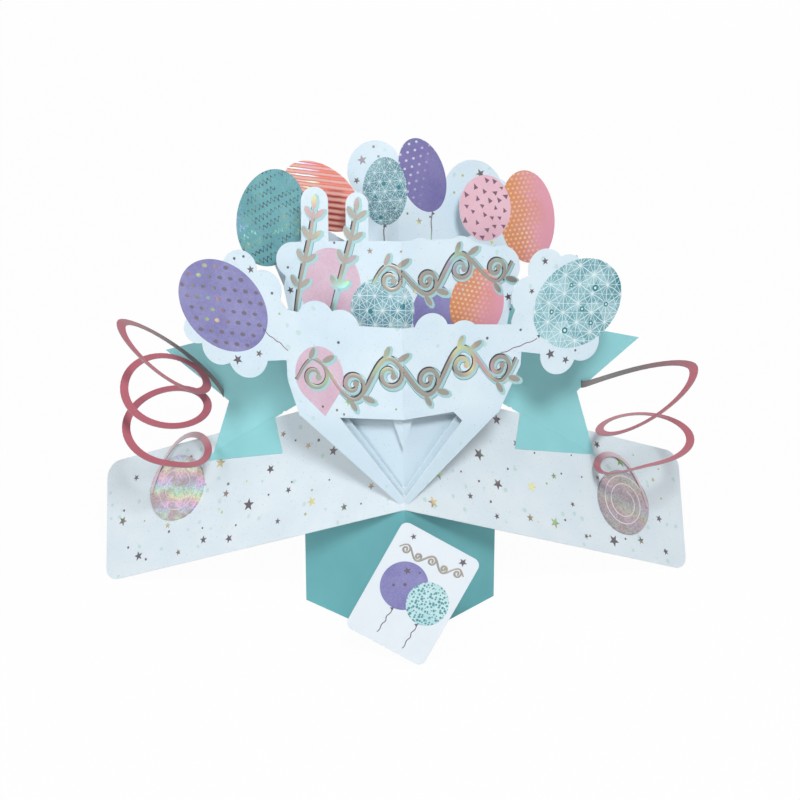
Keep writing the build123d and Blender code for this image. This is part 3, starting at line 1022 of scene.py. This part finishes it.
front_strings = [
    ((-58, 64.5), (-56.5, 62.5), (-55, 62.8), (-53.5, 60.6), (-51.5, 60.8), (-50.5, 58.6), (-48.5, 57.5)),
    ((59.5, 60), (57, 58.4), (54.5, 59), (51.5, 57), (48.5, 57.6), (46, 55.4), (43, 55.8)),
]
foil_lines("front_balloon_strings", "front", mauve_ink, front_strings, 0.38, 0.06, thin=0.9)
strew("front_balloon_knots", "front", dot_foil, cut_shape(3), [(-58.6, 65.2, 1.9, 40), (60.2, 60.8, 1.9, 70)])
rear_strings = [
    ((15, 104), (14, 101), (15.2, 98), (14, 95), (14.8, 91)),
    ((-6, 99), (-7, 96.5), (-5.4, 94), (-6.8, 91.5)),
]
foil_lines("rear_balloon_strings", "rear", dot_foil, rear_strings, 0.5, 0.06, thin=0.9)
strew("rear_balloon_knots", "rear", dot_foil, cut_shape(3), [(15.2, 104.4, 2.0, 20), (-5.8, 99.3, 2.0, 0)])


# Tag prints, laid out on the upright tag and turned with it
def on_tag(x, y):
    return swung(x, y, TAG_TURN)


def tag_run(points):
    return [on_tag(x, y) for x, y in points]


def tag_spots(spots, grow=1.0):
    return [(*on_tag(x, y), size * grow, turn) for x, y, size, turn in spots]


balloon("tag_purple_balloon", "tag", violet_print, *on_tag(-4.7, 1.2), 19, 19.5, TAG_TURN, 0.04)
balloon("tag_dotted_balloon", "tag", tag_teal, *on_tag(6.9, -0.8), 16.8, 17.6, TAG_TURN, 0.07)
tag_strings = (
    ((-4.4, -9), (-3.6, -10.8), (-5.6, -12.6), (-3.6, -14.6), (-5.6, -16.4), (-4.2, -18.8), (-5.2, -20)),
    ((7.2, -10.2), (8.2, -12), (6.2, -13.8), (8.2, -15.6), (6.2, -17.6), (7.6, -19.8), (6.8, -21)),
)
foil_lines("tag_strings", "tag", dot_foil, [tag_run(points) for points in tag_strings], 0.4, 0.05, thin=0.9)
tag_knots = [(*points[0], 1.9, 60) for points in tag_strings]
strew("tag_knots", "tag", dot_foil, cut_shape(3), tag_spots(tag_knots))
tag_stars = [(-11, 20, 2.6, 10), (11, 20.4, 3.6, 30), (-6.5, 7, 3.4, 15)]
strew("tag_stars", "tag", dot_foil, cut_star(), tag_spots(tag_stars), 0.06)
tag_dots = unturned([(-8.5, -0.5, 1.2), (-4.6, 1.8, 1.4), (-1.8, 8.6, 0.9)])
strew("tag_dots", "tag", dot_foil, cut_shape(8), tag_spots(tag_dots), 0.06)
tag_runs, tag_buds, _ = vine((-14, 14), (14, 15.4), 5, 2.2, 2.0)
foil_lines("tag_scrolls", "tag", stroke_foil, [tag_run(points) for points in tag_runs], 0.9, 0.08)
strew("tag_buds", "tag", stroke_foil, cut_shape(10), tag_spots(tag_buds, 0.45), 0.04)


# Streamers: the paper strips follow the CAD path, rose on one face and silver on the other
def eased(value):
    value = min(max(value, 0.0), 1.0)
    return value * value * (3 - 2 * value)


WING_LENGTH, WING_DEPTH = 150.6546, 53.0
DISC_RADIUS, DISC_THICKNESS = 14.0, 1.2
START_TURN, RISE_TURNS = 0.06, 0.7
STRIP_WIDTH, STRIP_START_WIDTH, STRIP_THICKNESS = 3.4, 1.2, 0.3
WIDEN_START, WIDEN_TURNS = 0.2, 0.4
TILT_START, TILT_TURNS = 1.7, 1.2
LAST_TURN = 0.5
WING_GAP, GLUE_LIFT = 0.1, 0.25


def sheet_spot(sheet, side, x, y, lift=0.0):
    """A spot on a sheet's half, in millimetres in space."""
    foot, fold, out, front = (Vector(value) for value in sheet_directions(sheet))
    mirror = Vector((side, 1, 1))
    return foot / MM + out * mirror * x + fold * y + front * mirror * lift


def ribbon_point(side, coil, turn, share):
    """A point on the strip: share runs from -0.5 to 0.5 across it."""
    disc_along, disc_up = coil["disc"]
    disc = sheet_spot("wings", side, disc_along * WING_LENGTH, disc_up * WING_DEPTH)
    glue = sheet_spot("backdrop", side, *coil["glue"], GLUE_LIFT)
    width = STRIP_START_WIDTH + (STRIP_WIDTH - STRIP_START_WIDTH) * eased((turn - WIDEN_START) / WIDEN_TURNS)
    reach = share * width
    start = DISC_RADIUS - STRIP_WIDTH / 2
    lifted = eased((turn - START_TURN) / RISE_TURNS)
    tilt = eased((turn - coil["turns"] + TILT_START) / TILT_TURNS)
    first, last = coil["slopes"]
    slope = first + (last - first) * tilt
    away = start + (coil["radius"] - start) * lifted + reach
    x = disc.x + side * (coil["out"] * lifted + away * math.cos(2 * math.pi * turn))
    y = disc.y - coil["forward"] * lifted + away * math.sin(2 * math.pi * turn)
    on_disc = RIDGE + y - abs(x) + DISC_THICKNESS * math.sqrt(3) + WING_GAP
    past_middle = side * (x - disc.x) - coil["out"]
    in_loop = disc.z + coil["rise"] + coil["pitch"] * turn
    in_loop += tilt * coil["tip_rise"] * past_middle / coil["radius"]
    in_loop += slope * (y - disc.y + coil["forward"])
    spot = Vector((x, y, on_disc + (in_loop - on_disc) * lifted))
    drawn_in = eased((turn - coil["turns"] + LAST_TURN) / LAST_TURN)
    return spot * (1 - drawn_in) + (glue + Vector((0, 0, reach))) * drawn_in


def streamer(name, side, glitter, coil):
    """The strip from the disc to the backdrop, the disc itself and the spiral cut in it."""
    length = coil["turns"] - START_TURN
    deselect()
    bpy.ops.mesh.primitive_grid_add(x_subdivisions=round(length * 48), y_subdivisions=2, size=1.0)
    strip = bpy.context.active_object
    strip.name = name + "_strip"
    layout = strip.data.uv_layers.new(name="turns")
    for loop in strip.data.loops:
        turned = (strip.data.vertices[loop.vertex_index].co.x + 0.5) * length
        layout.data[loop.index].uv = (turned + START_TURN, length - turned)
    for point in strip.data.vertices:
        turned = (point.co.x + 0.5) * length + START_TURN
        point.co = ribbon_point(side, coil, turned, point.co.y) * MM
    only(strip)
    bpy.ops.object.mode_set(mode="EDIT")
    bpy.ops.mesh.select_all(action="SELECT")
    if side > 0:
        bpy.ops.mesh.flip_normals()
    bpy.ops.object.mode_set(mode="OBJECT")
    shell = strip.modifiers.new("paper", "SOLIDIFY")
    shell.thickness = STRIP_THICKNESS * MM
    shell.offset = 0.0
    shell.material_offset = 1
    shell.material_offset_rim = 1
    strip.data.materials.append(ribbon_rose)
    strip.data.materials.append(ribbon_silver)
    bpy.ops.object.modifier_apply(modifier=shell.name)
    bpy.ops.object.shade_smooth_by_angle(angle=math.radians(40))
    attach(strip, "root")
    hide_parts(name)

    disc_x = side * coil["disc"][0] * WING_LENGTH
    disc_y = coil["disc"][1] * WING_DEPTH
    disc = flat_oval(name + "_disc", disc_x, disc_y, 2 * DISC_RADIUS, 2 * DISC_RADIUS, 0, 64, 0.0)
    mark_print(disc, disc_x, disc_y)
    thicken(disc, DISC_THICKNESS)
    fold_onto(disc, "wings")
    hand_over(disc, glitter)
    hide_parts(name)
    ring = [(disc_x + side * x, disc_y + y) for x, y in spiral(0, 0, DISC_RADIUS - 0.5, 0, 2.2, 0.4)]
    foil_lines(name + "_cut_line", "wings", disc_rim, [ring], 0.5, 0.16, thin=0.9, lift=DISC_THICKNESS)


streamer("left_streamer", -1, left_glitter, {
    "disc": (0.745, 0.63), "radius": 16.8, "out": 2.9, "forward": 9.0, "rise": 16.1, "pitch": 16.7,
    "tip_rise": 11.5, "slopes": (0.29, -0.06), "turns": 3.5, "glue": (78, -24),
})
streamer("right_streamer", 1, right_glitter, {
    "disc": (0.77, 0.45), "radius": 18.8, "out": 7.8, "forward": 3.0, "rise": 9.8, "pitch": 21.0,
    "tip_rise": 10.5, "slopes": (-0.12, -0.12), "turns": 2.5, "glue": (84, -23),
})

# Floor, light and camera
CARD_MIDDLE = Vector((0, 0.040, 0.080))
FLOOR_GLOW = 0.965
AMBIENT = 0.32
DAYLIGHT = (0.965, 1.0, 1.0)


def seen_directly(tree):
    """1 for what the camera sees, also in a mirror or through glass, and 0 for light that bounces."""
    seen = put(tree, "LightPath").outputs
    direct = calc(tree, "MAXIMUM", seen["Is Camera Ray"], seen["Is Glossy Ray"])
    return calc(tree, "MAXIMUM", direct, seen["Is Transmission Ray"])


deselect()
bpy.ops.mesh.primitive_plane_add(size=6.0, location=(0, 0, 0))
floor = bpy.context.active_object
floor.name = "floor"
floor_white, tree, surface = new_finish("pale floor", 0.9)
surface.inputs["Base Color"].default_value = (0.9, 0.9, 0.9, 1)
glow = put(tree, "Emission", {"Color": (1, 1, 1, 1), "Strength": 1.0})
share = times(tree, seen_directly(tree), FLOOR_GLOW)
mixed = put(tree, "MixShader", {0: share, 1: surface.outputs[0], 2: glow.outputs[0]})
tree.links.new(mixed.outputs[0], tree.nodes["Material Output"].inputs["Surface"])
floor.data.materials.append(floor_white)

world = bpy.data.worlds.new("studio")
bpy.context.scene.world = world
world.use_nodes = True
tree = world.node_tree
backing = tree.nodes["Background"]
backing.inputs["Color"].default_value = (1, 1, 1, 1)
strength = calc(tree, "MULTIPLY_ADD", seen_directly(tree), 1 - AMBIENT, AMBIENT)
tree.links.new(strength, backing.inputs["Strength"])


def lamp(name, place, size, power):
    light = bpy.data.lights.new(name, "AREA")
    light.energy = power
    light.color = DAYLIGHT
    light.shape = "DISK"
    light.size = size
    holder = bpy.data.objects.new(name, light)
    bpy.context.scene.collection.objects.link(holder)
    holder.location = place
    holder.rotation_euler = (CARD_MIDDLE - Vector(place)).to_track_quat("-Z", "Y").to_euler()


lamp("key", (0.2, -1.1, 1.28), 0.4, 15.4)
lamp("fill", (-1.1, -0.95, 0.9), 0.8, 5.4)
lamp("rear", (0.2, 1.5, 0.4), 0.8, 4.2)

CAMERA_TURN, CAMERA_RISE, CAMERA_AWAY = -2.5, 24.3, 1.0
swing, climb = math.radians(CAMERA_TURN), math.radians(CAMERA_RISE)
back = Vector((math.sin(swing) * math.cos(climb), -math.cos(swing) * math.cos(climb), math.sin(climb)))
camera = bpy.data.objects.new("camera", bpy.data.cameras.new("camera"))
bpy.context.scene.collection.objects.link(camera)
camera.location = CARD_MIDDLE + back * CAMERA_AWAY
camera.rotation_euler = (-back).to_track_quat("-Z", "Y").to_euler()
camera.data.sensor_width = 36
camera.data.lens = 111.9
camera.data.shift_y = 0.02625
bpy.context.scene.camera = camera
bpy.context.scene.view_settings.view_transform = "Standard"
